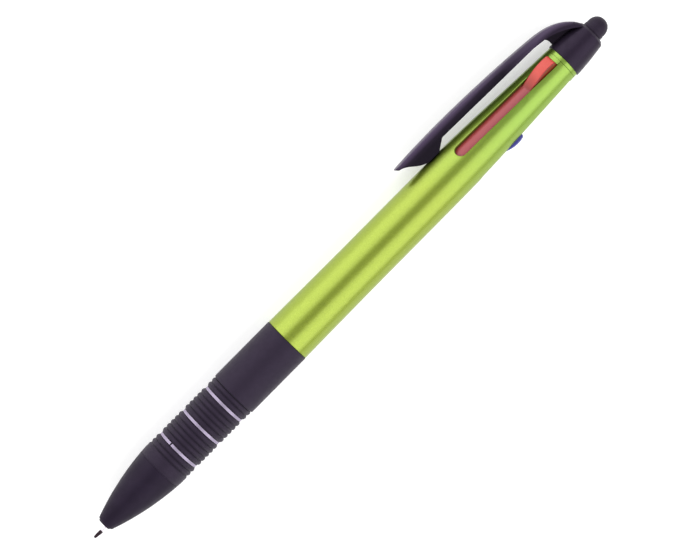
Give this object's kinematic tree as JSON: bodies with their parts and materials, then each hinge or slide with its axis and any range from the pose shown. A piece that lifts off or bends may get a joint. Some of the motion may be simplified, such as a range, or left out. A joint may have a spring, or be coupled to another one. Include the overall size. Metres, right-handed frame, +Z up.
{
  "type": "multicolor click pen",
  "caption": "Side-slide ballpoint pen with red, black and blue refills, ribbed rubber grip, slotted metallic barrel, one-piece cap with pocket clip, and a soft stylus dome.",
  "frame": {"origin": "on the pen's axis, at the joint plane between the rubber grip and the slotted barrel", "axes": "+X along the pen towards the stylus dome, +Y towards the clip, +Z up, out of the side between the clip and the blue slider; the red slot is 32 degrees from +Z towards +Y"},
  "size_m": [0.15, 0.0147, 0.0108],
  "materials": {
    "barrel_green": "satin metallic lacquer over moulded plastic, lime green",
    "grip_rubber": "matt soft-touch rubber, plum charcoal",
    "nose_plastic": "matt moulded plastic, plum charcoal",
    "cap_plastic": "satin moulded plastic, plum charcoal",
    "stylus_rubber": "smooth soft silicone, charcoal",
    "trim_ring": "bright plated ring",
    "inner_plastic": "plain moulded plastic, natural white",
    "knob_red": "coloured moulded plastic, coral red",
    "knob_black": "coloured moulded plastic, black",
    "knob_blue": "coloured moulded plastic, blue",
    "ink_red": "translucent tube with red ink",
    "ink_black": "translucent tube with black ink",
    "ink_blue": "translucent tube with blue ink",
    "tip_metal": "turned brass, nickel washed",
    "needle_steel": "drawn stainless tube",
    "ball_carbide": "polished carbide",
    "spring_steel": "drawn spring wire"
  },
  "bodies": {
    "shell": {"front_barrel": "nose_plastic", "grip_sleeve": "grip_rubber", "accent_ring_front": "trim_ring", "accent_ring_middle": "trim_ring", "accent_ring_rear": "trim_ring", "upper_barrel": "barrel_green", "end_collar": "barrel_green", "guide_disc": "inner_plastic", "latch_core": "inner_plastic", "clip_cap": "cap_plastic", "stylus_tip": "stylus_rubber", "spring_red": "spring_steel", "spring_black": "spring_steel", "spring_blue": "spring_steel"},
    "slider_red": {"slider_red": "knob_red", "ink_tube_rear_red": "ink_red"},
    "refill_red": {"ink_tube_front_red": "ink_red", "tip_holder_red": "tip_metal", "needle_red": "needle_steel", "writing_ball_red": "ball_carbide"},
    "slider_black": {"slider_black": "knob_black", "ink_tube_rear_black": "ink_black"},
    "refill_black": {"ink_tube_front_black": "ink_black", "tip_holder_black": "tip_metal", "needle_black": "needle_steel", "writing_ball_black": "ball_carbide"},
    "slider_blue": {"slider_blue": "knob_blue", "ink_tube_rear_blue": "ink_blue"},
    "refill_blue": {"ink_tube_front_blue": "ink_blue", "tip_holder_blue": "tip_metal", "needle_blue": "needle_steel", "writing_ball_blue": "ball_carbide"}
  },
  "joints": [
    {"name": "red_slide", "type": "slide", "parent": "shell", "child": "slider_red", "axis": [-1, 0, 0], "range_m": [0, 0.0148], "stiffness_N_per_m": 60, "springref_m": -0.01, "deforming": ["spring_red"]},
    {"name": "red_flex", "type": "hinge", "parent": "slider_red", "child": "refill_red", "pos_m": [-0.01425, 0.00114, 0.00182], "axis": [0, -0.848, 0.5299], "range_deg": [0, 2.03]},
    {"name": "black_slide", "type": "slide", "parent": "shell", "child": "slider_black", "axis": [-1, 0, 0], "range_m": [0, 0.0148], "stiffness_N_per_m": 60, "springref_m": -0.01, "deforming": ["spring_black"]},
    {"name": "black_flex", "type": "hinge", "parent": "slider_black", "child": "refill_black", "pos_m": [-0.01425, 0.00101, -0.0019], "axis": [0, 0.8829, 0.4695], "range_deg": [0, 2.03]},
    {"name": "blue_slide", "type": "slide", "parent": "shell", "child": "slider_blue", "axis": [-1, 0, 0], "range_m": [-0.0148, 0], "deforming": ["spring_blue"]},
    {"name": "blue_flex", "type": "hinge", "parent": "slider_blue", "child": "refill_blue", "pos_m": [-0.02905, -0.00215, 0.00007], "axis": [0, -0.0349, -0.9994], "range_deg": [-2.03, 0]}
  ],
  "couplings": [
    {"joint": "red_flex", "follows": "red_slide", "rad_per_m": 2.3913},
    {"joint": "black_flex", "follows": "black_slide", "rad_per_m": 2.3913},
    {"joint": "blue_flex", "follows": "blue_slide", "rad_per_m": 2.3913}
  ]
}
